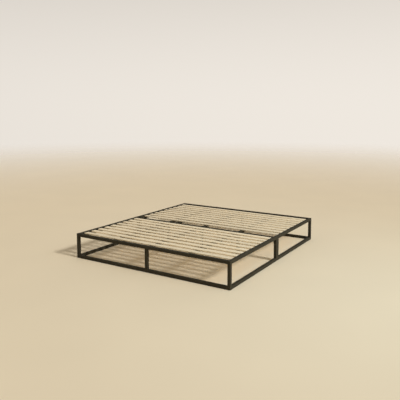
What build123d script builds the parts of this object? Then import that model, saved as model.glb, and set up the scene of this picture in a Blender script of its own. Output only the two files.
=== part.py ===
from build123d import *
import os

# Low platform bed: a box frame of square steel tube in two bolted halves, with flat wooden slats.
# Millimetres. The origin is on the floor under the middle of the bed, +X is to the right as seen
# from the foot, +Y towards the head and +Z up.
os.makedirs("parts", exist_ok=True)

# Overall size: the mattress with a small margin all round
mattress_width = 1800
mattress_length = 2000
mattress_margin = 10
bed_height = 257

# Square steel tube, used for every rail, post and leg, and a lighter one for the beams
tube_side = 30
beam_side = 25
tube_wall = 1.5
corner_walls_share = 2

# Wooden slats
slats_per_half = 9
slat_width = 57
slat_thickness = 10
slat_drop = 4
slat_end_clearance = 7
slat_corner = 4
slat_edge = 1.5

# Angle ledges that carry the slat ends
ledge_width = 20
ledge_depth = 30
ledge_thickness = 3
ledge_overhang = 3

# Support beams, the hangers that hold them, and the cross rail's end plates
beam_end_gap = 1
beam_place_shares = (-0.25, 0, 0.25)
hanger_thickness = 2
hanger_clearance = 0.3
hanger_length = 28
hanger_height = 24
hanger_flange = 14
hanger_bend = 1.5
end_plate_thickness = 4
end_plate_margin = 1

# Legs under the cross rail
leg_plate_length = 90
leg_plate_thickness = 3
leg_plate_corner = 5
foot_height = 8
foot_edge = 2
foot_plug_height = 20
foot_plug_wall = 2
foot_plug_clearance = 0.15

# Folded brackets in the corners
bracket_thickness = 3
bracket_leg = 38
bracket_clearance = 2.7
bracket_end_corner = 4

# Hexagon bolts that join the two halves
joining_bolt_radius = 4
joining_hole_clearance = 0.2
joining_head_flats = 13
joining_head_height = 5.3
joining_nut_height = 6.5
joining_thread_end = 3
joining_height_shares = (1 / 3, 2 / 3)

# Sizes that follow from the ones above
half_width = mattress_width / 2 + mattress_margin
half_length = mattress_length / 2 + mattress_margin
tube_corner = corner_walls_share * tube_wall
tube_bore = tube_side - 2 * tube_wall
tube_flat = tube_side - 2 * tube_corner
rail_x = half_width - tube_side / 2
rail_y = half_length - tube_side / 2
inner_x = half_width - tube_side
inner_y = half_length - tube_side
low_z = tube_side / 2
high_z = bed_height - tube_side / 2

slat_length = 2 * (inner_x - slat_end_clearance)
slat_gap = (inner_y - tube_side - slats_per_half * slat_width) / (slats_per_half + 1)
slat_pitch = slat_width + slat_gap
slat_underside = bed_height - slat_drop - slat_thickness
first_slat_y = tube_side + slat_gap + slat_width / 2

beam_z = slat_underside - beam_side / 2
beam_xs = [share * 2 * half_width for share in beam_place_shares]
end_plate_height = 2 * tube_side
cross_rail_underside = slat_underside - tube_side

joining_hole = joining_bolt_radius + joining_hole_clearance

right = Vector(1, 0, 0)
towards_head = Vector(0, 1, 0)
up = Vector(0, 0, 1)
sides = {"left": -1, "right": 1}
halves = {"foot": -1, "head": 1}


def save(piece, name):
    """Label a finished piece and write it under its own name."""
    piece.part.label = name
    export_step(piece.part, f"parts/{name}.step")


def tube_section(side=tube_side):
    """Draw a hollow square section, rounded outside, into the open sketch."""
    bore = side - 2 * tube_wall
    RectangleRounded(side, side, tube_corner)
    Rectangle(bore, bore, mode=Mode.SUBTRACT)


def mitre(corner, along_piece, along_neighbour):
    """Plane of a 45 degree joint at an outer corner, facing the piece that is kept."""
    return Plane(origin=corner, z_dir=along_piece - along_neighbour)


def cut_tube(name, start, direction, length, section_side=tube_side, mitres=(), holes=()):
    """Make one cut length of tube, with its mitred ends and its bolt holes."""
    section_x = up if direction.Z == 0 else right
    with BuildPart() as tube:
        with BuildSketch(Plane(origin=start, x_dir=section_x, z_dir=direction)):
            tube_section(section_side)
        extrude(amount=length)
        for plane in mitres:
            split(bisect_by=plane, keep=Keep.TOP)
        for face_point, outward in holes:
            with Locations(Plane(origin=face_point, z_dir=outward)):
                Hole(radius=joining_hole, depth=tube_side)
    save(tube, name)


def make_end_frame(half_name, half):
    """Foot or head end: a mitred ring of four tubes with a post in its middle."""
    y = half * rail_y
    rails = {"top": (high_z, bed_height, -up), "bottom": (low_z, 0, up)}
    for rail_name, (z, corner_z, post_way) in rails.items():
        cut_tube(
            f"{half_name}_{rail_name}_rail",
            Vector(-half_width, y, z), right, 2 * half_width,
            mitres=[
                mitre(Vector(-half_width, y, corner_z), right, post_way),
                mitre(Vector(half_width, y, corner_z), -right, post_way),
            ],
        )
    for side_name, side in sides.items():
        cut_tube(
            f"{half_name}_{side_name}_corner_post",
            Vector(side * rail_x, y, 0), up, bed_height,
            mitres=[
                mitre(Vector(side * half_width, y, 0), up, -side * right),
                mitre(Vector(side * half_width, y, bed_height), -up, -side * right),
            ],
        )
    cut_tube(
        f"{half_name}_middle_post",
        Vector(0, y, tube_side), up, bed_height - 2 * tube_side,
    )


def make_side_frame(half_name, half, side_name, side):
    """Half of one long side: two rails mitred to the post that meets the other half."""
    x = side * rail_x
    rail_way = half * towards_head
    rails = {"top": (high_z, bed_height, -up), "bottom": (low_z, 0, up)}
    for rail_name, (z, corner_z, post_way) in rails.items():
        cut_tube(
            f"{side_name}_{half_name}_{rail_name}_rail",
            Vector(x, 0, z), rail_way, inner_y,
            mitres=[mitre(Vector(x, 0, corner_z), rail_way, post_way)],
        )
    cut_tube(
        f"{side_name}_{half_name}_middle_post",
        Vector(x, half * tube_side / 2, 0), up, bed_height,
        mitres=[
            mitre(Vector(x, 0, 0), up, rail_way),
            mitre(Vector(x, 0, bed_height), -up, rail_way),
        ],
        holes=[
            (Vector(x, half * tube_side, share * bed_height), rail_way)
            for share in joining_height_shares
        ],
    )


def make_ledge(half_name, half, side_name, side):
    """Angle welded inside a side rail, just long enough to carry its half's slats."""
    near_y = tube_side + slat_gap - ledge_overhang
    far_y = inner_y - bracket_leg - bracket_clearance
    with BuildPart() as ledge:
        with BuildSketch(Plane.XZ.offset(-near_y)) as angle:
            with Locations((inner_x, slat_underside)):
                Rectangle(ledge_width, ledge_thickness, align=(Align.MAX, Align.MAX))
                Rectangle(ledge_thickness, ledge_depth, align=(Align.MAX, Align.MAX))
            inside_corner = angle.vertices().sort_by_distance(
                (inner_x - ledge_thickness, slat_underside - ledge_thickness)
            )[0]
            fillet(inside_corner, radius=ledge_thickness)
        extrude(amount=-(far_y - near_y))
        if side < 0:
            mirror(about=Plane.YZ, mode=Mode.REPLACE)
        if half < 0:
            mirror(about=Plane.XZ, mode=Mode.REPLACE)
    save(ledge, f"{side_name}_{half_name}_slat_ledge")


def make_cross_rail():
    """Rail across the joint of the two halves, with a bolted plate at each end."""
    with BuildPart() as cross_rail:
        with BuildSketch(Plane.YZ.offset(-inner_x + end_plate_thickness)):
            with Locations((0, slat_underside - tube_side / 2)):
                tube_section()
        extrude(amount=2 * (inner_x - end_plate_thickness))
        for side in sides.values():
            with BuildSketch(Plane.YZ.offset(side * inner_x)):
                with Locations((0, slat_underside)):
                    Rectangle(
                        2 * (tube_side - end_plate_margin), end_plate_height,
                        align=(Align.CENTER, Align.MAX),
                    )
            extrude(amount=-side * end_plate_thickness)
    save(cross_rail, "cross_rail")


def make_centre_leg(name, x):
    """Leg tube with the welded plate that bolts it under the cross rail."""
    plate_underside = cross_rail_underside - leg_plate_thickness
    with BuildPart() as leg:
        with BuildSketch(Plane.XY.offset(foot_height)):
            with Locations((x, 0)):
                tube_section()
        extrude(amount=plate_underside - foot_height)
        with BuildSketch(Plane.XY.offset(plate_underside)):
            with Locations((x, 0)):
                chamfer(Rectangle(leg_plate_length, tube_side).vertices(), length=leg_plate_corner)
        extrude(amount=leg_plate_thickness)
    save(leg, name)


def make_leg_feet():
    """Plastic glides, each with a hollow plug that pushes up into its leg."""
    plug_side = tube_bore - 2 * foot_plug_clearance
    plug_bore = plug_side - 2 * foot_plug_wall
    with BuildPart() as feet:
        with BuildSketch(Plane.XY):
            with Locations(*[(x, 0) for x in beam_xs]):
                chamfer(Rectangle(tube_side, tube_side).vertices(), length=tube_corner)
        extrude(amount=foot_height)
        chamfer(feet.faces().filter_by(Axis.Z).group_by(Axis.Z)[0].edges(), length=foot_edge)
        with BuildSketch(Plane.XY.offset(foot_height)):
            with Locations(*[(x, 0) for x in beam_xs]):
                Rectangle(plug_side, plug_side)
                Rectangle(plug_bore, plug_bore, mode=Mode.SUBTRACT)
        extrude(amount=foot_plug_height)
    save(feet, "centre_leg_feet")


def make_beam(name, x, half):
    """Lengthwise beam from the end rail to the cross rail, dropped into two hangers."""
    near_y = tube_side / 2 + beam_end_gap
    far_y = inner_y - beam_end_gap
    start = Vector(x, half * near_y, beam_z)
    cut_tube(name, start, half * towards_head, far_y - near_y, section_side=beam_side)


def make_hangers():
    """Folded steel hangers: a U that holds a beam's end, with two flanges on the rail."""
    pocket_width = beam_side + 2 * hanger_clearance
    outer_width = pocket_width + 2 * hanger_thickness
    flanged_width = outer_width + 2 * hanger_flange
    with BuildPart() as hanger:
        with BuildSketch(Plane.XY):
            Rectangle(outer_width, hanger_height, align=(Align.CENTER, Align.MIN))
        extrude(amount=hanger_length)
        bottom_edges = hanger.faces().sort_by(Axis.Y)[0].edges().filter_by(Axis.Z)
        chamfer(bottom_edges, length=hanger_bend)
        with BuildSketch(Plane.XY):
            Rectangle(flanged_width, hanger_height, align=(Align.CENTER, Align.MIN))
        extrude(amount=hanger_thickness)
        with BuildSketch(Plane.XY):
            with Locations((0, hanger_thickness)):
                Rectangle(pocket_width, hanger_height, align=(Align.CENTER, Align.MIN))
        extrude(amount=hanger_length, mode=Mode.SUBTRACT)
    carriers = [
        Plane(
            origin=(x, face * half, slat_underside - beam_side - hanger_thickness),
            x_dir=(-way * half, 0, 0),
            z_dir=(0, way * half, 0),
        )
        for x in beam_xs
        for half in halves.values()
        for face, way in ((tube_side / 2, 1), (inner_y, -1))
    ]
    with BuildPart() as hangers:
        with Locations(*carriers):
            add(hanger.part)
    save(hangers, "beam_hangers")


def make_corner_brackets():
    """Folded angles that tie each side rail to the end rail, at the top and at the floor."""
    with BuildPart() as bracket:
        with BuildSketch(Plane.XY.offset(-tube_flat / 2)) as angle:
            Rectangle(bracket_leg, bracket_thickness, align=(Align.MIN, Align.MIN))
            Rectangle(bracket_thickness, bracket_leg, align=(Align.MIN, Align.MIN))
            inside_corner = angle.vertices().sort_by_distance((bracket_thickness, bracket_thickness))[0]
            fillet(inside_corner, radius=bracket_thickness)
        extrude(amount=tube_flat)
        end_edges = bracket.edges().filter_by(Axis.Y).group_by(Axis.X)[-1]
        end_edges += bracket.edges().filter_by(Axis.X).group_by(Axis.Y)[-1]
        chamfer(end_edges, length=bracket_end_corner)
    corners = [
        Plane(
            origin=(side * inner_x, half * inner_y, z),
            x_dir=(-side, 0, 0) if side == half else (0, -half, 0),
            z_dir=(0, 0, 1),
        )
        for side in sides.values()
        for half in halves.values()
        for z in (low_z, high_z)
    ]
    with BuildPart() as brackets:
        with Locations(*corners):
            add(bracket.part)
    save(brackets, "corner_brackets")


def joining_planes(face_y, direction):
    """Planes on one face of the paired posts, one at each joining bolt."""
    return [
        Plane(origin=(side * rail_x, face_y, share * bed_height), z_dir=(0, direction, 0))
        for side in sides.values()
        for share in joining_height_shares
    ]


def make_joining_bolts():
    """Hexagon bolts through the paired posts of the two halves."""
    shank_length = 2 * tube_side + joining_nut_height + joining_thread_end
    with BuildPart() as bolt:
        with BuildSketch(Plane.XY):
            RegularPolygon(joining_head_flats / 2, 6, major_radius=False)
        extrude(amount=joining_head_height)
        Cylinder(joining_bolt_radius, shank_length, align=(Align.CENTER, Align.CENTER, Align.MAX))
    with BuildPart() as bolts:
        with Locations(*joining_planes(-tube_side, -1)):
            add(bolt.part)
    save(bolts, "joining_bolts")


def make_joining_nuts():
    """Nuts of the joining bolts, seated on the head half's posts."""
    with BuildPart() as nut:
        with BuildSketch(Plane.XY):
            RegularPolygon(joining_head_flats / 2, 6, major_radius=False)
            Circle(joining_hole, mode=Mode.SUBTRACT)
        extrude(amount=joining_nut_height)
    with BuildPart() as nuts:
        with Locations(*joining_planes(tube_side, 1)):
            add(nut.part)
    save(nuts, "joining_nuts")


def make_slats():
    """Flat wooden slats, evenly spaced in each half, numbered from the foot."""
    slat_ys = [first_slat_y + slat_pitch * place for place in range(slats_per_half)]
    all_ys = [-y for y in reversed(slat_ys)] + slat_ys
    for number, y in enumerate(all_ys, start=1):
        with BuildPart() as slat:
            with BuildSketch(Plane.XY.offset(slat_underside)):
                with Locations((0, y)):
                    chamfer(Rectangle(slat_length, slat_width).vertices(), length=slat_corner)
            extrude(amount=slat_thickness)
            chamfer(slat.faces().sort_by(Axis.Z)[-1].edges(), length=slat_edge)
        save(slat, f"slat_{number:02d}")


for half_name, half in halves.items():
    make_end_frame(half_name, half)
    for side_name, side in sides.items():
        make_side_frame(half_name, half, side_name, side)
        make_ledge(half_name, half, side_name, side)
    for place_name, x in zip(("left", "middle", "right"), beam_xs):
        make_beam(f"{half_name}_{place_name}_beam", x, half)

make_cross_rail()
for place_name, x in zip(("left", "middle", "right"), beam_xs):
    make_centre_leg(f"centre_leg_{place_name}", x)
make_leg_feet()
make_hangers()
make_corner_brackets()
make_joining_bolts()
make_joining_nuts()
make_slats()
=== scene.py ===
import math

import bmesh
import bpy
from bpy.props import FloatProperty, FloatVectorProperty, PointerProperty
from mathutils import Matrix, Vector


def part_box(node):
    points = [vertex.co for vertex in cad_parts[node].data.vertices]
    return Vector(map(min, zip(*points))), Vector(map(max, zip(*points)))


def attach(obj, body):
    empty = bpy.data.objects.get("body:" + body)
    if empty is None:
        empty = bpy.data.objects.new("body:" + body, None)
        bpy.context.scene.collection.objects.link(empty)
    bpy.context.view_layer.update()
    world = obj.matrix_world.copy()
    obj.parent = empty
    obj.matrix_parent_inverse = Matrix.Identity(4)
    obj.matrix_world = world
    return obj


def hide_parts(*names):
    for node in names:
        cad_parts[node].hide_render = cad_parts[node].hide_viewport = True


# The bed's steel and wood at their real size and place: metres, +X right, +Y to the head, +Z up
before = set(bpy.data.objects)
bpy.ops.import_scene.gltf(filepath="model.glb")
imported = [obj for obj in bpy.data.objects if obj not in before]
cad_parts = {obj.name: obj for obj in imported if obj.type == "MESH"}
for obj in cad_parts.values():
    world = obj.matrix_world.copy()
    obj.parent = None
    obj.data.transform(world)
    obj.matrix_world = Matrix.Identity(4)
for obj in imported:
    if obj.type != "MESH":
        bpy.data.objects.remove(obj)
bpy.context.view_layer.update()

bl_info = {
    "name": "Metal Platform Bed",
    "version": (1, 0, 0),
    "blender": (4, 5, 0),
    "location": "3D View > Sidebar > Bed",
    "description": "Finishes, fasteners and weld seams of a steel platform bed with wooden slats",
    "category": "Object",
}

RIGHT = Vector((1, 0, 0))
TO_HEAD = Vector((0, 1, 0))
UP = Vector((0, 0, 1))
SIDES = {"left": -1, "right": 1}
HALVES = {"foot": -1, "head": 1}
LEGS = ("left", "middle", "right")

SIXTH_TURN = math.pi / 3
QUARTER_TURN = math.pi / 2

# Sides of a round piece: a multiple of six keeps a hexagon's corners, and of four a cross's arms
ROUND_SIDES = 48

# Steps in a quarter of a rounded head, of a slat's eased edge and of a slat's corner
DOME_STEPS = 6
EDGE_STEPS = 4
CORNER_STEPS = 5

# Steps in one turn of a thread, in one ripple of a weld and across a weld's face
THREAD_STEPS = 8
RIPPLE_STEPS = 6
FACE_STEPS = 6

# Radius of a hexagon's flat face inside its chamfer, beside its width across the flats
FLAT_FACE_SHARE = 0.475

# Edges that turn further than this look sharp, and points nearer than this are one point
SHARP_EDGE = math.radians(32)
TOUCHING = 0.00001

# Places that the frame gives, and a height under the slats from which to look up at them
slat_names = sorted(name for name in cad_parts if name.startswith("slat_"))
slats_per_half = len(slat_names) // 2
slat_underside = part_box(slat_names[0])[0].z
post_low, post_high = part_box("foot_middle_post")
tube_side = post_high.x - post_low.x
lookout_height = post_low.z + tube_side


class BedFinishes(bpy.types.PropertyGroup):
    """Colours and surface sizes of the bed's finishes."""

    coat_colour: FloatVectorProperty(
        name="Coat", description="Colour of the frame's powder coat",
        subtype="COLOR", min=0, max=1, default=(0.0362, 0.0302, 0.0173),
    )
    coat_grain: FloatProperty(
        name="Coat grain", description="Size of the powder coat's fine texture",
        unit="LENGTH", min=0.0001, default=0.0009,
    )
    early_wood: FloatVectorProperty(
        name="Early wood", description="Pale wood between the growth rings",
        subtype="COLOR", min=0, max=1, default=(0.845, 0.715, 0.485),
    )
    late_wood: FloatVectorProperty(
        name="Late wood", description="Darker wood of the growth rings",
        subtype="COLOR", min=0, max=1, default=(0.56, 0.36, 0.17),
    )
    ring_width: FloatProperty(
        name="Ring width", description="Distance from one growth ring to the next",
        unit="LENGTH", min=0.0005, default=0.0034,
    )
    plastic_colour: FloatVectorProperty(
        name="Feet", description="Colour of the moulded feet",
        subtype="COLOR", min=0, max=1, default=(0.012, 0.012, 0.012),
    )
    fastener_colour: FloatVectorProperty(
        name="Fasteners", description="Colour of the blackened bolts and screws",
        subtype="COLOR", min=0, max=1, default=(0.045, 0.044, 0.042),
    )


class BedHardware(bpy.types.PropertyGroup):
    """Sizes of the small hardware, the welds and the slats' eased edges."""

    button_width: FloatProperty(
        name="Bolt head width", description="Width of a button head",
        unit="LENGTH", default=0.0105,
    )
    button_height: FloatProperty(
        name="Bolt head height", description="Height of a button head",
        unit="LENGTH", default=0.0033,
    )
    socket_flats: FloatProperty(
        name="Socket width", description="Width across the flats of a bolt's socket",
        unit="LENGTH", default=0.004,
    )
    washer_width: FloatProperty(
        name="Washer width", description="Width of the washer under a button head",
        unit="LENGTH", default=0.0125,
    )
    washer_thickness: FloatProperty(
        name="Washer thickness", description="Thickness of the washer under a button head",
        unit="LENGTH", default=0.0012,
    )
    screw_width: FloatProperty(
        name="Screw head width", description="Width of the pan heads that hold the slats",
        unit="LENGTH", default=0.0078,
    )
    screw_height: FloatProperty(
        name="Screw head height", description="Height of the pan heads that hold the slats",
        unit="LENGTH", default=0.0024,
    )
    bolt_flats: FloatProperty(
        name="Joining bolt flats", description="Width across the flats of the joining bolts",
        unit="LENGTH", default=0.013,
    )
    bolt_head_height: FloatProperty(
        name="Joining bolt head", description="Height of the joining bolts' heads",
        unit="LENGTH", default=0.0053,
    )
    bolt_width: FloatProperty(
        name="Joining bolt shank", description="Diameter of the joining bolts",
        unit="LENGTH", default=0.008,
    )
    thread_pitch: FloatProperty(
        name="Thread pitch", description="Rise of the joining bolts' thread in one turn",
        unit="LENGTH", default=0.00125,
    )
    weld_leg: FloatProperty(
        name="Weld size", description="How far a weld reaches up each face",
        unit="LENGTH", default=0.003,
    )
    weld_ripple: FloatProperty(
        name="Weld ripple", description="Distance from one ripple of a weld to the next",
        unit="LENGTH", default=0.0024,
    )
    slat_easing: FloatProperty(
        name="Slat edge radius", description="Radius of the eased edges on top of the slats",
        unit="LENGTH", default=0.0016,
    )
    slat_arris: FloatProperty(
        name="Slat lower edges", description="Radius of the sharper edges under the slats",
        unit="LENGTH", default=0.0004,
    )
    slat_corner: FloatProperty(
        name="Slat corner radius", description="Radius of the slats' corners, seen from above",
        unit="LENGTH", default=0.004,
    )


class BedStage(bpy.types.PropertyGroup):
    """Floor, lights and camera round the bed."""

    floor_colour: FloatVectorProperty(
        name="Floor", description="Colour of the pale floor round the bed",
        subtype="COLOR", min=0, max=1, default=(0.835, 0.71, 0.50),
    )
    floor_radius: FloatProperty(
        name="Floor radius", description="Radius of the flat floor",
        unit="LENGTH", default=40,
    )
    fade_start: FloatProperty(
        name="Fade start", description="Distance at which the floor starts to fade",
        unit="LENGTH", default=3,
    )
    fade_end: FloatProperty(
        name="Fade end", description="Distance at which the floor has faded away",
        unit="LENGTH", default=20,
    )
    key_strength: FloatProperty(
        name="Key light", description="Strength of the light from the right", default=2.3,
    )
    side_power: FloatProperty(
        name="Side light", description="Watts of the cool soft light beside the bed", default=32,
    )
    horizon_colour: FloatVectorProperty(
        name="Horizon", description="Light that comes level from all round",
        subtype="COLOR", min=0, max=1, default=(0.865, 0.81, 0.74),
    )
    overhead_colour: FloatVectorProperty(
        name="Overhead", description="Light that comes straight down",
        subtype="COLOR", min=0, max=1, default=(0.375, 0.335, 0.285),
    )
    camera_place: FloatVectorProperty(
        name="Camera", description="Place of the camera", subtype="XYZ", unit="LENGTH",
        default=(2.8771, -4.6474, 1.5334),
    )
    camera_turn: FloatProperty(
        name="Camera turn", description="How far the camera is turned left of the head end",
        unit="ROTATION", default=0.5582,
    )
    camera_tilt: FloatProperty(
        name="Camera tilt", description="How far the camera looks down",
        unit="ROTATION", default=0.0993,
    )
    camera_lens: FloatProperty(
        name="Lens", description="Focal length of the camera in millimetres", default=44.86,
    )
    camera_shift: FloatProperty(
        name="Shift", description="Vertical shift of the picture", default=-0.1,
    )


class Shade:
    """One shader socket that can stand in a Python expression, which adds the nodes it needs."""

    def __init__(self, tree, socket=None):
        self.tree = tree
        self.socket = socket

    @staticmethod
    def find(sockets, key):
        """A node's socket by its place, or by the name that its settings leave in use."""
        if isinstance(key, int):
            return sockets[key]
        return next(socket for socket in sockets if socket.enabled and socket.name == key)

    def node(self, kind, settings, values, output=0):
        """Add a node, with its settings first and then its sockets' values or links."""
        node = self.tree.nodes.new(kind)
        for name, setting in settings.items():
            setattr(node, name, setting)
        for key, value in values.items():
            socket = self.find(node.inputs, key)
            if isinstance(value, Shade):
                self.tree.links.new(value.socket, socket)
            else:
                socket.default_value = value
        return Shade(self.tree, self.find(node.outputs, output) if node.outputs else None)

    def combine(self, operation, first, second):
        """Join two values: colours with Mix, vectors with Vector Math and numbers with Math."""
        kinds = {value.socket.type for value in (first, second) if isinstance(value, Shade)}
        if "RGBA" in kinds:
            settings = {"data_type": "RGBA", "blend_type": operation}
            return self.node(
                "ShaderNodeMix", settings, {"Factor": 1, "A": first, "B": second}, "Result"
            )
        kind = "ShaderNodeVectorMath" if "VECTOR" in kinds else "ShaderNodeMath"
        return self.node(kind, {"operation": operation}, {0: first, 1: second})

    def __add__(self, other):
        return self.combine("ADD", self, other)

    def __radd__(self, other):
        return self.combine("ADD", other, self)

    def __sub__(self, other):
        return self.combine("SUBTRACT", self, other)

    def __rsub__(self, other):
        return self.combine("SUBTRACT", other, self)

    def __mul__(self, other):
        return self.combine("MULTIPLY", self, other)

    def __rmul__(self, other):
        return self.combine("MULTIPLY", other, self)

    def __truediv__(self, other):
        return self.combine("DIVIDE", self, other)

    def maths(self, operation):
        """One value through a Math node, such as its floor or its fraction."""
        return self.node("ShaderNodeMath", {"operation": operation}, {0: self})

    def axes(self):
        """The three numbers of a vector."""
        return [
            self.node("ShaderNodeSeparateXYZ", {}, {"Vector": self}, axis) for axis in ("X", "Y", "Z")
        ]

    def vector(self, x, y, z):
        """A vector made of three numbers."""
        return self.node("ShaderNodeCombineXYZ", {}, {"X": x, "Y": y, "Z": z})

    def noise(self, size, detail=2):
        """A cloudy pattern from 0 to 1, with patches about this large."""
        return self.node(
            "ShaderNodeTexNoise", {}, {"Vector": self, "Scale": 1 / size, "Detail": detail}, "Fac"
        )

    def rise(self, low, high):
        """A value that climbs smoothly from 0 to 1 between two levels."""
        return self.node(
            "ShaderNodeMapRange", {"interpolation_type": "SMOOTHSTEP"},
            {"Value": self, "From Min": low, "From Max": high},
        )

    def blend(self, first, second):
        """Colour that goes from the first to the second as this value goes from 0 to 1."""
        return self.node(
            "ShaderNodeMix", {"data_type": "RGBA"},
            {"Factor": self, "A": first, "B": second}, "Result",
        )

    def tones(self, colour, darkest, lightest):
        """A setting's colour, from its darkest share to its lightest as this value goes to 1."""
        return self.blend(rgba(colour, darkest), rgba(colour, lightest))

    def bump(self, depth, strength):
        """Normals that are raised and sunk by this value, up to a depth in metres."""
        return self.node(
            "ShaderNodeBump", {}, {"Height": self, "Distance": depth, "Strength": strength}
        )


def rgba(colour, share=1):
    """A setting's colour as a socket takes it, dimmed or brightened by a share."""
    return tuple(share * part for part in colour) + (1,)


def blank_material(name):
    """An empty material, with the place on the object that its patterns start from."""
    material = bpy.data.materials.new(name)
    material.use_nodes = True
    material.node_tree.nodes.clear()
    start = Shade(material.node_tree)
    return material, start.node("ShaderNodeTexCoord", {}, {}, "Object")


def finish(place, values):
    """Close a material with its surface shader."""
    surface = place.node("ShaderNodeBsdfPrincipled", {}, values)
    place.node("ShaderNodeOutputMaterial", {}, {"Surface": surface})


def powder_coat(finishes):
    """Dark powder coat: a fine pebbled skin over slow waves, with faint cloudy patches."""
    least_tone, grain_tone = 0.9, 0.2
    least_roughness, cloud_roughness, grain_roughness = 0.76, 0.07, 0.08
    wave_share = 0.8
    material, place = blank_material("powder_coat")
    grain = place.noise(size=finishes.coat_grain)
    waves = place.noise(size=0.006)
    clouds = place.noise(size=0.11, detail=3)
    patches = clouds.rise(low=0.3, high=0.7)
    colour = patches.tones(finishes.coat_colour, darkest=0.88, lightest=1.16)
    finish(place, {
        "Base Color": colour * (least_tone + grain_tone * grain),
        "Roughness": least_roughness + cloud_roughness * clouds + grain_roughness * grain,
        "Normal": (grain + wave_share * waves).bump(depth=0.00012, strength=0.6),
        "Specular IOR Level": 0.18,
    })
    return material


def pine(finishes):
    """Planed softwood: growth rings round a pith that lies elsewhere in every slat."""
    material, place = blank_material("pine_slats")
    x, y, z = place.axes()

    # Number each board, the head half's from 20 up, and find the place across it
    head_numbers = 20
    first_slat, second_slat = (
        sum(corner.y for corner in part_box(name)) / 2
        for name in slat_names[slats_per_half:slats_per_half + 2]
    )
    pitch = second_slat - first_slat
    head_half = y.node("ShaderNodeMath", {"operation": "GREATER_THAN"}, {0: y, 1: 0.0})
    rows = (y.maths("ABSOLUTE") - (first_slat - pitch / 2)) / pitch
    board = rows.maths("FLOOR") + head_numbers * head_half
    across = (rows.maths("FRACT") - 0.5) * pitch
    dice = place.node(
        "ShaderNodeTexWhiteNoise", {"noise_dimensions": "1D"}, {"W": board + 0.5}, "Color"
    )
    tone, depth, lean = dice.axes()

    # Cut rings round a pith that wanders, leans and is a little ragged
    pith_spread, least_pith_depth, pith_depth_spread = 0.05, 0.012, 0.05
    wander, slope, raggedness = 0.022, 0.012, 0.0009
    drift_scale, ragged_scale = (1, 7.3, 3.1), (6, 40, 40)
    drift = (place.vector(x, board, lean) * drift_scale).noise(size=0.55, detail=1)
    ragged = (place * ragged_scale).noise(size=0.9)
    pith_across = (depth - 0.5) * pith_spread
    pith_depth = least_pith_depth + pith_depth_spread * tone
    centre = place.vector(0.0, across - pith_across, z - slat_underside + pith_depth)
    radius = centre.node("ShaderNodeVectorMath", {"operation": "LENGTH"}, {0: centre}, "Value")
    reach = radius + wander * drift + (lean - 0.5) * slope * x + raggedness * ragged
    growth = (reach / finishes.ring_width).maths("FRACT")
    late = growth.rise(low=0.25, high=0.84) * (1 - growth.rise(low=0.86, high=1.0))

    # Lay long fibres and streaks over the rings
    late_share = 0.28
    least_tone, board_tone, fibre_tone, streak_tone = 0.865, 0.12, 0.08, 0.07
    least_roughness, fibre_roughness, late_smoothness = 0.52, 0.14, 0.06
    fibre_height, late_height = 0.7, 0.3
    fibre_scale, streak_scale = (9, 800, 800), (0.8, 55, 4)
    fibre = (place.vector(x, across, z) * fibre_scale).noise(size=1, detail=3)
    streak = (place.vector(x, across, board) * streak_scale).noise(size=1)
    wood = (late * late_share).blend(rgba(finishes.early_wood), rgba(finishes.late_wood))
    light = least_tone + board_tone * tone + fibre_tone * fibre + streak_tone * streak
    finish(place, {
        "Base Color": wood * light,
        "Roughness": least_roughness + fibre_roughness * fibre - late_smoothness * late,
        "Normal": (fibre_height * fibre + late_height * late).bump(depth=0.0001, strength=0.5),
        "Specular IOR Level": 0.4,
    })
    return material


def moulded_plastic(finishes):
    """Matt black plastic with a fine spark-eroded grain."""
    least_roughness, grain_roughness = 0.5, 0.16
    material, place = blank_material("moulded_feet")
    grain = place.noise(size=0.0006)
    finish(place, {
        "Base Color": grain.tones(finishes.plastic_colour, darkest=0.8, lightest=1.4),
        "Roughness": least_roughness + grain_roughness * grain,
        "Normal": grain.bump(depth=0.00006, strength=0.5),
    })
    return material


def black_steel(finishes):
    """Oiled black oxide on bolts and screws: dark metal with slow smears of oil."""
    least_roughness, smear_roughness, scratch_roughness = 0.28, 0.16, 0.06
    material, place = blank_material("black_steel")
    smear = place.noise(size=0.004, detail=3)
    scratch = place.noise(size=0.0005)
    finish(place, {
        "Base Color": smear.tones(finishes.fastener_colour, darkest=0.75, lightest=1.3),
        "Metallic": 0.85,
        "Roughness": least_roughness + smear_roughness * smear + scratch_roughness * scratch,
        "Normal": scratch.bump(depth=0.00003, strength=0.4),
    })
    return material


def studio_floor(stage):
    """Plain pale floor that fades with distance into the light behind it."""
    least_roughness, mottle_roughness = 0.65, 0.1
    material, place = blank_material("studio_floor")
    distance = place.node("ShaderNodeVectorMath", {"operation": "LENGTH"}, {0: place}, "Value")
    mottle = place.noise(size=0.8, detail=1)
    finish(place, {
        "Base Color": mottle.tones(stage.floor_colour, darkest=0.97, lightest=1.03),
        "Roughness": least_roughness + mottle_roughness * mottle,
        "Alpha": 1 - distance.rise(low=stage.fade_start, high=stage.fade_end),
        "Specular IOR Level": 0.15,
    })
    return material


def paint_nodes(slot_name, material):
    """Give a finish to every piece of the frame that has this material slot."""
    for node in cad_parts.values():
        for slot in node.material_slots:
            if slot.name == slot_name:
                slot.material = material


def ring(radius, height):
    """Points of one turn round Z. The radius and the height may be functions of the angle."""
    points = []
    for side in range(ROUND_SIDES):
        angle = 2 * math.pi * side / ROUND_SIDES
        reach = radius(angle) if callable(radius) else radius
        level = height(angle) if callable(height) else height
        points.append(Vector((reach * math.cos(angle), reach * math.sin(angle), level)))
    return points


def hexagon(flats):
    """Distance from the middle of a hexagon to its side, as a function of the angle."""
    def reach(angle):
        from_flat = (angle + SIXTH_TURN / 2) % SIXTH_TURN - SIXTH_TURN / 2
        return flats / 2 / math.cos(from_flat)
    return reach


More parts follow.
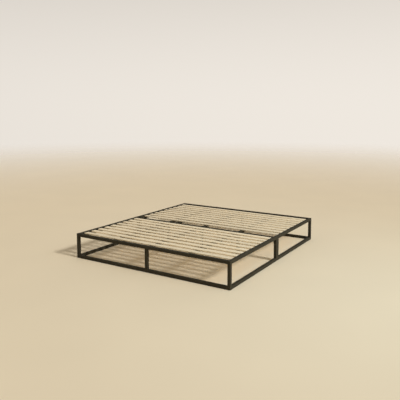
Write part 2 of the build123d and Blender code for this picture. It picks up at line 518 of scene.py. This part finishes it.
def cross(length, width):
    """Distance from the middle of a cross-shaped recess to its side."""
    def reach(angle):
        from_arm = abs((angle + QUARTER_TURN / 2) % QUARTER_TURN - QUARTER_TURN / 2)
        return min(length / 2, width / 2 / max(math.sin(from_arm), TOUCHING))
    return reach


def skin(shape, rows, closed=False):
    """Join rows of points into a skin, capped at both ends or closed on itself."""
    rows = [[shape.verts.new(point) for point in row] for row in rows]
    following = rows[1:] + rows[:1] if closed else rows[1:]
    for row, after in zip(rows, following):
        for index, vert in enumerate(row):
            beside = (index + 1) % len(row)
            shape.faces.new((vert, row[beside], after[beside], after[index]))
    if not closed:
        shape.faces.new(reversed(rows[0]))
        shape.faces.new(rows[-1])


def stand(rows, point, way):
    """Move rows that were drawn round Z to a point, with Z turned to a way."""
    place = Matrix.Translation(point) @ way.to_track_quat("Z", "Y").to_matrix().to_4x4()
    return [[place @ corner for corner in row] for row in rows]


def add_object(name, data):
    """Put an object with this mesh, lamp or lens into the scene."""
    added = bpy.data.objects.new(name, data)
    bpy.context.scene.collection.objects.link(added)
    return added


def add_mesh(name, shape, material):
    """Put a finished shape into the scene, with one material all over it."""
    mesh = bpy.data.meshes.new(name)
    shape.to_mesh(mesh)
    shape.free()
    mesh.materials.append(material)
    return add_object(name, mesh)


def add_piece(name, shape, material):
    """Turn a finished shape into a piece of the bed."""
    bmesh.ops.recalc_face_normals(shape, faces=shape.faces)
    for face in shape.faces:
        face.smooth = True
    for edge in shape.edges:
        edge.smooth = edge.calc_face_angle(0) < SHARP_EDGE
    piece = add_mesh(name, shape, material)
    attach(piece, "root")
    return piece


def seat(node, start, way):
    """Where a straight line from a point first meets a piece of the frame."""
    found, point, _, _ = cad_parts[node].ray_cast(start, way)
    if not found:
        raise RuntimeError(f"no face of {node} lies that way")
    return point


def solid_boxes(node):
    """Lowest and highest corner of each separate solid in a piece of the frame."""
    shape = bmesh.new()
    shape.from_mesh(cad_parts[node].data)
    bmesh.ops.remove_doubles(shape, verts=shape.verts, dist=TOUCHING)
    boxes = []
    left = set(shape.verts)
    while left:
        solid = [left.pop()]
        for vert in solid:
            for edge in vert.link_edges:
                other = edge.other_vert(vert)
                if other in left:
                    left.remove(other)
                    solid.append(other)
        boxes.append(tuple(
            Vector([choose(vert.co[axis] for vert in solid) for axis in range(3)])
            for choose in (min, max)
        ))
    shape.free()
    return sorted(boxes, key=lambda box: tuple(box[0]))


def sign(number):
    """1 or -1, as the number is."""
    return math.copysign(1, number)


def button_head_rows(hardware):
    """Domed head with a hexagon socket, drawn on the XY plane."""
    radius = hardware.button_width / 2
    height = hardware.button_height
    rim_height = 0.12 * height
    top_radius = 0.52 * radius
    socket = hexagon(hardware.socket_flats)
    mouth_radius = 1.06 * socket(SIXTH_TURN / 2)
    mouth_depth = 0.08 * height
    socket_floor = 0.4 * height
    point_radius, point_level = 0.1 * radius, 0.3 * height
    rows = [ring(radius, 0), ring(radius, rim_height)]
    for step in range(1, DOME_STEPS + 1):
        angle = QUARTER_TURN * step / DOME_STEPS
        reach = top_radius + (radius - top_radius) * math.cos(angle)
        rows.append(ring(reach, rim_height + (height - rim_height) * math.sin(angle)))
    rows += [
        ring(mouth_radius, height), ring(socket, height - mouth_depth),
        ring(socket, socket_floor), ring(point_radius, point_level),
    ]
    return rows


def washer_rows(hardware):
    """Flat washer with a broken edge, drawn on the XY plane."""
    radius = hardware.washer_width / 2
    thickness = hardware.washer_thickness
    chamfer = 0.2 * thickness
    return [
        ring(radius - chamfer, 0), ring(radius, chamfer),
        ring(radius, thickness - chamfer), ring(radius - chamfer, thickness),
    ]


def pan_head_rows(hardware):
    """Low rounded screw head with a cross recess, drawn on the XY plane."""
    radius = hardware.screw_width / 2
    height = hardware.screw_height
    rim_share = 0.3
    top_radius = 0.62 * radius
    recess_mouth = cross(length=1.12 * radius, width=0.3 * radius)
    recess_floor = cross(length=0.5 * radius, width=0.18 * radius)
    floor_level = 0.3 * height
    rows = [ring(radius, 0)]
    for step in range(DOME_STEPS + 1):
        angle = QUARTER_TURN * step / DOME_STEPS
        reach = top_radius + (radius - top_radius) * math.cos(angle)
        rows.append(ring(reach, height * (rim_share + (1 - rim_share) * math.sin(angle))))
    rows += [ring(recess_mouth, height), ring(recess_floor, floor_level)]
    return rows


def add_button_bolt(shape, hardware, point, way):
    """A button head on its washer, seated on a point."""
    skin(shape, stand(washer_rows(hardware), point, way))
    top = point + way * hardware.washer_thickness
    skin(shape, stand(button_head_rows(hardware), top, way))


def chamfered_height(flats, height):
    """Height of a hexagon's side under the cone that cuts its corners off."""
    flat_radius = FLAT_FACE_SHARE * flats
    reach = hexagon(flats)
    return lambda angle: height - (reach(angle) - flat_radius) * math.tan(SIXTH_TURN / 2)


def thread(radius, pitch, level):
    """Radius of a thread at one level, as a function of the angle."""
    depth_share = 0.54
    depth = depth_share * pitch

    def reach(angle):
        turn = (level / pitch - angle / (2 * math.pi)) % 1
        return radius - depth * (1 - abs(2 * turn - 1))
    return reach


def joining_bolt_rows(hardware, length):
    """Hexagon bolt that stands under the XY plane by its length, with its head above."""
    radius = hardware.bolt_width / 2
    flats = hardware.bolt_flats
    head_height = hardware.bolt_head_height
    pitch = hardware.thread_pitch
    tip_radius, run_in_radius = 0.8 * radius, 0.9 * radius
    flat_radius = FLAT_FACE_SHARE * flats
    washer_face = 0.03 * flats
    threaded_length = 0.2 * length
    thread_start = -length + pitch / 2
    turns = int(threaded_length / pitch)
    rows = [ring(tip_radius, -length), ring(run_in_radius, thread_start)]
    for step in range(1, turns * THREAD_STEPS + 1):
        level = thread_start + pitch * step / THREAD_STEPS
        rows.append(ring(thread(radius, pitch, level), level))
    rows += [
        ring(radius, level + pitch), ring(radius, 0), ring(flat_radius, 0),
        ring(hexagon(flats), washer_face), ring(hexagon(flats), chamfered_height(flats, head_height)),
        ring(flat_radius, head_height),
    ]
    return rows


def nut_rows(hardware, height):
    """Hexagon nut with both faces chamfered, drawn on the XY plane."""
    flats = hardware.bolt_flats
    flat_radius = FLAT_FACE_SHARE * flats
    bore_radius = 0.52 * hardware.bolt_width
    top = chamfered_height(flats, height)
    return [
        ring(bore_radius, 0), ring(flat_radius, 0),
        ring(hexagon(flats), lambda angle: height - top(angle)), ring(hexagon(flats), top),
        ring(flat_radius, height), ring(bore_radius, height),
    ]


def slat_rows(hardware, low, high):
    """Sections of a slat from its left end to its right, eased on top and sharper below."""
    end_easing = 0.0006
    # How much of its corner's radius an end narrows by on each side
    tuck_share = 0.9
    corner = hardware.slat_corner
    middle = (low + high) / 2
    half_width = (high.y - low.y) / 2
    half_thickness = (high.z - low.z) / 2
    steps = [
        corner * (1 - math.cos(QUARTER_TURN * step / CORNER_STEPS))
        for step in range(CORNER_STEPS + 1)
    ]
    stations = [(low.x + step, step) for step in steps]
    stations += [(high.x - step, step) for step in reversed(steps)]
    rows = []
    for x, from_end in stations:
        tuck = corner - math.sqrt(corner ** 2 - (corner - from_end) ** 2)
        end_tuck = max(0, end_easing - from_end)
        width = half_width - tuck_share * tuck - end_tuck
        thickness = half_thickness - end_tuck
        row = []
        for quarter, (across, up) in enumerate(((1, -1), (1, 1), (-1, 1), (-1, -1))):
            ease = hardware.slat_easing if up > 0 else hardware.slat_arris
            for step in range(EDGE_STEPS + 1):
                angle = QUARTER_TURN * (quarter - 1 + step / EDGE_STEPS)
                row.append(Vector((
                    x,
                    middle.y + across * (width - ease) + ease * math.cos(angle),
                    middle.z + up * (thickness - ease) + ease * math.sin(angle),
                )))
        rows.append(row)
    return rows


def weld_rows(start, end, first_face, second_face, leg, ripple):
    """Sections of a rippled fillet weld along the line where two faces meet."""
    fewest_steps = 8
    # How full an end is, how flat the face is, and how deep and how far bent its ripples are
    end_share, flatness, ripple_share, lag_share = 0.15, 0.62, 0.1, 0.5
    length = (end - start).length
    along = (end - start) / length
    steps = max(fewest_steps, int(RIPPLE_STEPS * length / ripple))
    sunk = 0.04 * leg
    rows = []
    for step in range(steps + 1):
        travelled = length * step / steps
        nearest_end = min(travelled, length - travelled)
        fullness = math.sqrt(min(1, end_share + nearest_end / leg))
        row = [start + along * travelled - (first_face + second_face) * sunk]
        for point in range(FACE_STEPS + 1):
            angle = QUARTER_TURN * point / FACE_STEPS
            chord = 1 / (math.cos(angle) + math.sin(angle))
            lag = lag_share * math.sin(2 * angle)
            crest = abs(math.sin(math.pi * (travelled / ripple + lag)))
            bulge = flatness * chord + (1 - flatness)
            reach = leg * fullness * bulge * ((1 - ripple_share) + ripple_share * crest)
            row.append(
                start + along * travelled
                + second_face * (reach * math.cos(angle) - sunk * math.sin(angle))
                + first_face * (reach * math.sin(angle) - sunk * math.cos(angle))
            )
        rows.append(row)
    return rows


def ring_weld_lines(inset):
    """Inside corners of the end frames and of the side frames."""
    lines = []
    for half in HALVES:
        low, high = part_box(f"{half}_middle_post")
        faces = [
            (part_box(f"{half}_left_corner_post")[1].x, RIGHT),
            (low.x, -RIGHT),
            (high.x, RIGHT),
            (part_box(f"{half}_right_corner_post")[0].x, -RIGHT),
        ]
        levels = [(low.z, UP), (high.z, -UP)]
        for x, way in faces:
            for z, rail_way in levels:
                near = Vector((x, low.y + inset, z))
                far = Vector((x, high.y - inset, z))
                lines.append((near, far, way, rail_way))
    for side in SIDES:
        for half, way in HALVES.items():
            low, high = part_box(f"{side}_{half}_middle_post")
            y = low.y if way < 0 else high.y
            levels = [
                (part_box(f"{side}_{half}_bottom_rail")[1].z, UP),
                (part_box(f"{side}_{half}_top_rail")[0].z, -UP),
            ]
            for z, rail_way in levels:
                near = Vector((low.x + inset, y, z))
                far = Vector((high.x - inset, y, z))
                lines.append((near, far, way * TO_HEAD, rail_way))
    return lines


def cross_rail_weld_lines(inset):
    """Where the cross rail meets its end plates, and its legs meet their top plates."""
    half_tube = tube_side / 2
    rail_low = slat_underside - tube_side
    rail_middle = slat_underside - half_tube
    lines = []
    for side in SIDES.values():
        start = Vector((0, half_tube + inset, rail_middle))
        plate_x = seat("cross_rail", start, side * RIGHT).x
        for way in (-1, 1):
            y = way * half_tube
            lines.append((
                Vector((plate_x, y, rail_low + inset)), Vector((plate_x, y, slat_underside - inset)),
                -side * RIGHT, way * TO_HEAD,
            ))
        lines.append((
            Vector((plate_x, inset - half_tube, rail_low)),
            Vector((plate_x, half_tube - inset, rail_low)),
            -side * RIGHT, -UP,
        ))
    for leg in LEGS:
        low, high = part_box(f"centre_leg_{leg}")
        x = (low.x + high.x) / 2
        plate_z = seat(f"centre_leg_{leg}", Vector((high.x - inset, 0, lookout_height)), UP).z
        flat = half_tube - inset
        for way in (-1, 1):
            edge = x + way * half_tube
            lines.append((
                Vector((edge, -flat, plate_z)), Vector((edge, flat, plate_z)), -UP, way * RIGHT
            ))
            y = way * half_tube
            lines.append((
                Vector((x - flat, y, plate_z)), Vector((x + flat, y, plate_z)), -UP, way * TO_HEAD
            ))
    return lines


def hanger_weld_lines(inset):
    """Side edges of the beam hangers' flanges, on the rails that carry them."""
    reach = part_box("beam_hangers")[1].y
    end_rail_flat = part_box("foot_top_rail")[0].z + inset
    lines = []
    for low, high in solid_boxes("beam_hangers"):
        at_end = high.y > reach - TOUCHING or low.y < TOUCHING - reach
        y, way = (high.y, -1) if (high.y > 0) == at_end else (low.y, 1)
        start_z = max(low.z + inset, end_rail_flat if at_end else low.z)
        for x, side in ((low.x, -1), (high.x, 1)):
            lines.append((
                Vector((x, y, start_z)), Vector((x, y, high.z - inset)),
                way * TO_HEAD, side * RIGHT,
            ))
    return lines


def ledge_weld_lines(length):
    """Stitches along the ledges, in every second gap between the slats."""
    lines = []
    for side_name, side in SIDES.items():
        ledge_low, ledge_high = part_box(f"{side_name}_foot_slat_ledge")
        x = ledge_high.x if side > 0 else ledge_low.x
        for first in (0, slats_per_half):
            for slat in range(first, first + slats_per_half - 1, 2):
                y = (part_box(slat_names[slat])[1].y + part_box(slat_names[slat + 1])[0].y) / 2
                lines.append((
                    Vector((x, y - length / 2, ledge_high.z)),
                    Vector((x, y + length / 2, ledge_high.z)),
                    -side * RIGHT, UP,
                ))
    return lines


def add_welds(name, lines, leg, ripple, material):
    """One piece that holds the welds of a group of lines."""
    shape = bmesh.new()
    for start, end, first_face, second_face in lines:
        skin(shape, weld_rows(start, end, first_face, second_face, leg, ripple))
    add_piece(name, shape, material)


class BED_OT_coat_frame(bpy.types.Operator):
    """Powder coat the steel frame, its brackets, hangers, ledges and legs"""

    bl_idname = "metal_bed.coat_frame"
    bl_label = "Coat the Frame"

    def execute(self, context):
        paint_nodes("frame_steel", powder_coat(context.scene.bed_finishes))
        return {"FINISHED"}


class BED_OT_finish_feet(bpy.types.Operator):
    """Give the legs' feet their moulded plastic"""

    bl_idname = "metal_bed.finish_feet"
    bl_label = "Finish the Feet"

    def execute(self, context):
        paint_nodes("foot_plastic", moulded_plastic(context.scene.bed_finishes))
        return {"FINISHED"}


class BED_OT_lay_slats(bpy.types.Operator):
    """Lay the planed slats, with eased edges, in the places of the plain ones"""

    bl_idname = "metal_bed.lay_slats"
    bl_label = "Lay the Slats"

    def execute(self, context):
        material = pine(context.scene.bed_finishes)
        hardware = context.scene.bed_hardware
        for name in slat_names:
            shape = bmesh.new()
            skin(shape, slat_rows(hardware, *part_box(name)))
            piece = add_piece(f"planed_{name}", shape, material)
            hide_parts(name)
        return {"FINISHED"}


class BED_OT_fit_joining_bolts(bpy.types.Operator):
    """Bolt the two halves together through their paired posts"""

    bl_idname = "metal_bed.fit_joining_bolts"
    bl_label = "Fit the Joining Bolts"

    def execute(self, context):
        hardware = context.scene.bed_hardware
        material = black_steel(context.scene.bed_finishes)
        head_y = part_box("right_foot_middle_post")[0].y
        nut_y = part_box("right_head_middle_post")[1].y
        bolts, nuts = bmesh.new(), bmesh.new()
        for low, high in solid_boxes("joining_bolts"):
            middle = (low + high) / 2
            rows = joining_bolt_rows(hardware, high.y - head_y)
            skin(bolts, stand(rows, Vector((middle.x, head_y, middle.z)), -TO_HEAD))
        for low, high in solid_boxes("joining_nuts"):
            middle = (low + high) / 2
            rows = nut_rows(hardware, high.y - nut_y)
            skin(nuts, stand(rows, Vector((middle.x, nut_y, middle.z)), TO_HEAD), closed=True)
        for name, shape in (("joining_bolts", bolts), ("joining_nuts", nuts)):
            piece = add_piece(f"threaded_{name}", shape, material)
            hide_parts(name)
        return {"FINISHED"}


class BED_OT_fit_bracket_bolts(bpy.types.Operator):
    """Bolt both legs of every corner bracket to the rails"""

    bl_idname = "metal_bed.fit_bracket_bolts"
    bl_label = "Fit the Bracket Bolts"

    bolt_share: FloatProperty(
        name="Bolt place", description="Place of a bolt along its bracket's leg, from the heel",
        default=0.58,
    )

    def execute(self, context):
        hardware = context.scene.bed_hardware
        shape = bmesh.new()
        for low, high in solid_boxes("corner_brackets"):
            middle = (low + high) / 2
            out_x, out_y = sign(middle.x) * RIGHT, sign(middle.y) * TO_HEAD
            leg_length = high.x - low.x
            step = (self.bolt_share - 0.5) * leg_length
            for along, across in ((out_x, out_y), (out_y, out_x)):
                start = middle - step * along - leg_length * across
                add_button_bolt(shape, hardware, seat("corner_brackets", start, across), -across)
        material = black_steel(context.scene.bed_finishes)
        add_piece("bracket_bolts", shape, material)
        return {"FINISHED"}


class BED_OT_fit_cross_rail_bolts(bpy.types.Operator):
    """Bolt the cross rail's end plates to the posts, and the legs' plates to the cross rail"""

    bl_idname = "metal_bed.fit_cross_rail_bolts"
    bl_label = "Fit the Cross Rail Bolts"

    def execute(self, context):
        hardware = context.scene.bed_hardware
        material = black_steel(context.scene.bed_finishes)
        shape = bmesh.new()
        rail_underside = slat_underside - tube_side
        bolt_height = (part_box("cross_rail")[0].z + rail_underside) / 2
        for side in SIDES.values():
            for half in HALVES.values():
                start = Vector((0, half * tube_side / 2, bolt_height))
                point = seat("cross_rail", start, side * RIGHT)
                add_button_bolt(shape, hardware, point, -side * RIGHT)
        add_piece("cross_rail_bolts", shape, material)
        shape = bmesh.new()
        for leg in LEGS:
            low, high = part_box(f"centre_leg_{leg}")
            half_plate, half_tube = (high.x - low.x) / 2, tube_side / 2
            step = (half_plate + half_tube) / 2
            for side in SIDES.values():
                start = Vector(((low.x + high.x) / 2 + side * step, 0, lookout_height))
                add_button_bolt(shape, hardware, seat(f"centre_leg_{leg}", start, UP), -UP)
        add_piece("leg_plate_bolts", shape, material)
        return {"FINISHED"}


class BED_OT_fit_slat_screws(bpy.types.Operator):
    """Screw every slat down from under the ledges"""

    bl_idname = "metal_bed.fit_slat_screws"
    bl_label = "Fit the Slat Screws"

    def execute(self, context):
        hardware = context.scene.bed_hardware
        shape = bmesh.new()
        for name in slat_names:
            slat_low, slat_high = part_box(name)
            y = (slat_low.y + slat_high.y) / 2
            half = "foot" if y < 0 else "head"
            for side_name, side in SIDES.items():
                ledge = f"{side_name}_{half}_slat_ledge"
                ledge_low, ledge_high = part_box(ledge)
                ledge_edge = min(abs(ledge_low.x), abs(ledge_high.x))
                start = Vector((side * (slat_high.x + ledge_edge) / 2, y, lookout_height))
                skin(shape, stand(pan_head_rows(hardware), seat(ledge, start, UP), -UP))
        material = black_steel(context.scene.bed_finishes)
        add_piece("slat_screws", shape, material)
        return {"FINISHED"}


class BED_OT_run_welds(bpy.types.Operator):
    """Run the small fillet welds that hold the tubes, plates, hangers and ledges"""

    bl_idname = "metal_bed.run_welds"
    bl_label = "Run the Welds"

    corner_inset: FloatProperty(
        name="Inset", description="Distance from a tube's face to the end of a weld on it",
        unit="LENGTH", default=0.003,
    )
    stitch_length: FloatProperty(
        name="Stitch", description="Length of one stitch on a ledge", unit="LENGTH", default=0.022,
    )
    thin_share: FloatProperty(
        name="Thin welds", description="Size of the welds on folded sheet, beside the others",
        default=0.7,
    )

    def execute(self, context):
        material = powder_coat(context.scene.bed_finishes)
        hardware = context.scene.bed_hardware
        leg, ripple = hardware.weld_leg, hardware.weld_ripple
        thin = self.thin_share
        inset = self.corner_inset
        add_welds("ring_welds", ring_weld_lines(inset), leg, ripple, material)
        add_welds("cross_rail_welds", cross_rail_weld_lines(inset), leg, ripple, material)
        add_welds("hanger_welds", hanger_weld_lines(inset), thin * leg, thin * ripple, material)
        stitches = ledge_weld_lines(self.stitch_length)
        add_welds("ledge_welds", stitches, thin * leg, thin * ripple, material)
        return {"FINISHED"}


class BED_OT_set_stage(bpy.types.Operator):
    """Set up the pale floor, the soft lights and the camera"""

    bl_idname = "metal_bed.set_stage"
    bl_label = "Set the Stage"

    floor_drop: FloatProperty(
        name="Floor drop", description="How far the floor lies under the bed's own zero",
        unit="LENGTH", default=0.0002,
    )
    key_way: FloatVectorProperty(
        name="Key way", description="Where the light from the right comes from",
        subtype="DIRECTION", default=(1, -0.05, 0.696),
    )
    key_spread: FloatProperty(
        name="Key spread", description="How wide the light from the right looks",
        unit="ROTATION", default=math.radians(9.5),
    )
    key_colour: FloatVectorProperty(
        name="Key colour", description="Colour of the light from the right",
        subtype="COLOR", min=0, max=1, default=(0.98, 0.98, 1.0),
    )
    side_place: FloatVectorProperty(
        name="Side place", description="Place of the soft light beside the bed",
        subtype="XYZ", unit="LENGTH", default=(3.0, -0.6, 2.8),
    )
    side_size: FloatVectorProperty(
        name="Side size", description="Width and height of the soft light beside the bed",
        subtype="XYZ", unit="LENGTH", size=2, default=(2.6, 1.6),
    )
    side_colour: FloatVectorProperty(
        name="Side colour", description="Colour of the soft light beside the bed",
        subtype="COLOR", min=0, max=1, default=(0.5, 0.76, 1.0),
    )

    def execute(self, context):
        stage = context.scene.bed_stage
        self.lay_floor(stage)
        self.hang_key_light(stage)
        self.hang_side_light(stage)
        self.light_surround(context.scene, stage)
        self.build_camera(context.scene, stage)
        return {"FINISHED"}

    def lay_floor(self, stage):
        """A round floor that is too wide for its edge to show."""
        shape = bmesh.new()
        shape.faces.new([shape.verts.new(point) for point in ring(stage.floor_radius, 0)])
        floor = add_mesh("studio_floor", shape, studio_floor(stage))
        floor.location.z = -self.floor_drop

    def hang_key_light(self, stage):
        """The main light, which comes from the right and casts soft-edged shadows."""
        lamp = bpy.data.lights.new("key_light", "SUN")
        lamp.energy = stage.key_strength
        lamp.angle = self.key_spread
        lamp.color = self.key_colour
        light = add_object("key_light", lamp)
        light.rotation_euler = Vector(self.key_way).to_track_quat("Z", "Y").to_euler()

    def hang_side_light(self, stage):
        """A weaker, cooler soft box near the right side, which lights that side a little more."""
        lamp = bpy.data.lights.new("side_light", "AREA")
        lamp.shape = "RECTANGLE"
        lamp.size, lamp.size_y = self.side_size
        lamp.energy = stage.side_power
        lamp.color = self.side_colour
        light = add_object("side_light", lamp)
        light.location = self.side_place
        light.rotation_euler = Vector(self.side_place).to_track_quat("Z", "Y").to_euler()
        light.visible_camera = False

    def light_surround(self, scene, stage):
        """Soft light from all round, brightest near the horizon and behind the head end."""
        head_gain = 0.13
        world = bpy.data.worlds.new("soft_surround")
        world.use_nodes = True
        world.node_tree.nodes.clear()
        way = Shade(world.node_tree).node("ShaderNodeTexCoord", {}, {}, "Generated")
        _, towards_head, climb = way.axes()
        overhead = climb.rise(low=0, high=0.7)
        light = overhead.blend(rgba(stage.horizon_colour), rgba(stage.overhead_colour))
        light = light * ((1 - head_gain) + head_gain * towards_head)
        glow = way.node("ShaderNodeBackground", {}, {"Color": light})
        way.node("ShaderNodeOutputWorld", {}, {"Surface": glow})
        scene.world = world
        scene.view_settings.view_transform = "Standard"

    def build_camera(self, scene, stage):
        """The camera that sees the bed as the photograph does."""
        lens = bpy.data.cameras.new("photo_camera")
        lens.lens = stage.camera_lens
        lens.shift_y = stage.camera_shift
        camera = add_object("photo_camera", lens)
        camera.location = stage.camera_place
        camera.rotation_euler = (QUARTER_TURN - stage.camera_tilt, 0, stage.camera_turn)
        scene.camera = camera


OPERATORS = (
    BED_OT_coat_frame,
    BED_OT_finish_feet,
    BED_OT_lay_slats,
    BED_OT_fit_joining_bolts,
    BED_OT_fit_bracket_bolts,
    BED_OT_fit_cross_rail_bolts,
    BED_OT_fit_slat_screws,
    BED_OT_run_welds,
    BED_OT_set_stage,
)

SETTINGS = {"bed_finishes": BedFinishes, "bed_hardware": BedHardware, "bed_stage": BedStage}


class BED_PT_sidebar(bpy.types.Panel):
    """Lists the steps that finish the bed, and their settings"""

    bl_label = "Metal Platform Bed"
    bl_idname = "BED_PT_sidebar"
    bl_space_type = "VIEW_3D"
    bl_region_type = "UI"
    bl_category = "Bed"

    def draw(self, context):
        for operator in OPERATORS:
            self.layout.operator(operator.bl_idname)
        for group, settings in SETTINGS.items():
            box = self.layout.box()
            for name in settings.__annotations__:
                box.prop(getattr(context.scene, group), name)


def register():
    for settings in SETTINGS.values():
        bpy.utils.register_class(settings)
    for name, settings in SETTINGS.items():
        setattr(bpy.types.Scene, name, PointerProperty(type=settings))
    for operator in OPERATORS:
        bpy.utils.register_class(operator)
    bpy.utils.register_class(BED_PT_sidebar)


def unregister():
    bpy.utils.unregister_class(BED_PT_sidebar)
    for operator in reversed(OPERATORS):
        bpy.utils.unregister_class(operator)
    for name, settings in SETTINGS.items():
        delattr(bpy.types.Scene, name)
        bpy.utils.unregister_class(settings)


def main():
    """Finish the bed step by step."""
    register()
    bpy.ops.metal_bed.coat_frame()
    bpy.ops.metal_bed.finish_feet()
    bpy.ops.metal_bed.lay_slats()
    bpy.ops.metal_bed.fit_joining_bolts()
    bpy.ops.metal_bed.fit_bracket_bolts()
    bpy.ops.metal_bed.fit_cross_rail_bolts()
    bpy.ops.metal_bed.fit_slat_screws()
    bpy.ops.metal_bed.run_welds()
    bpy.ops.metal_bed.set_stage()


if __name__ == "__main__":
    main()
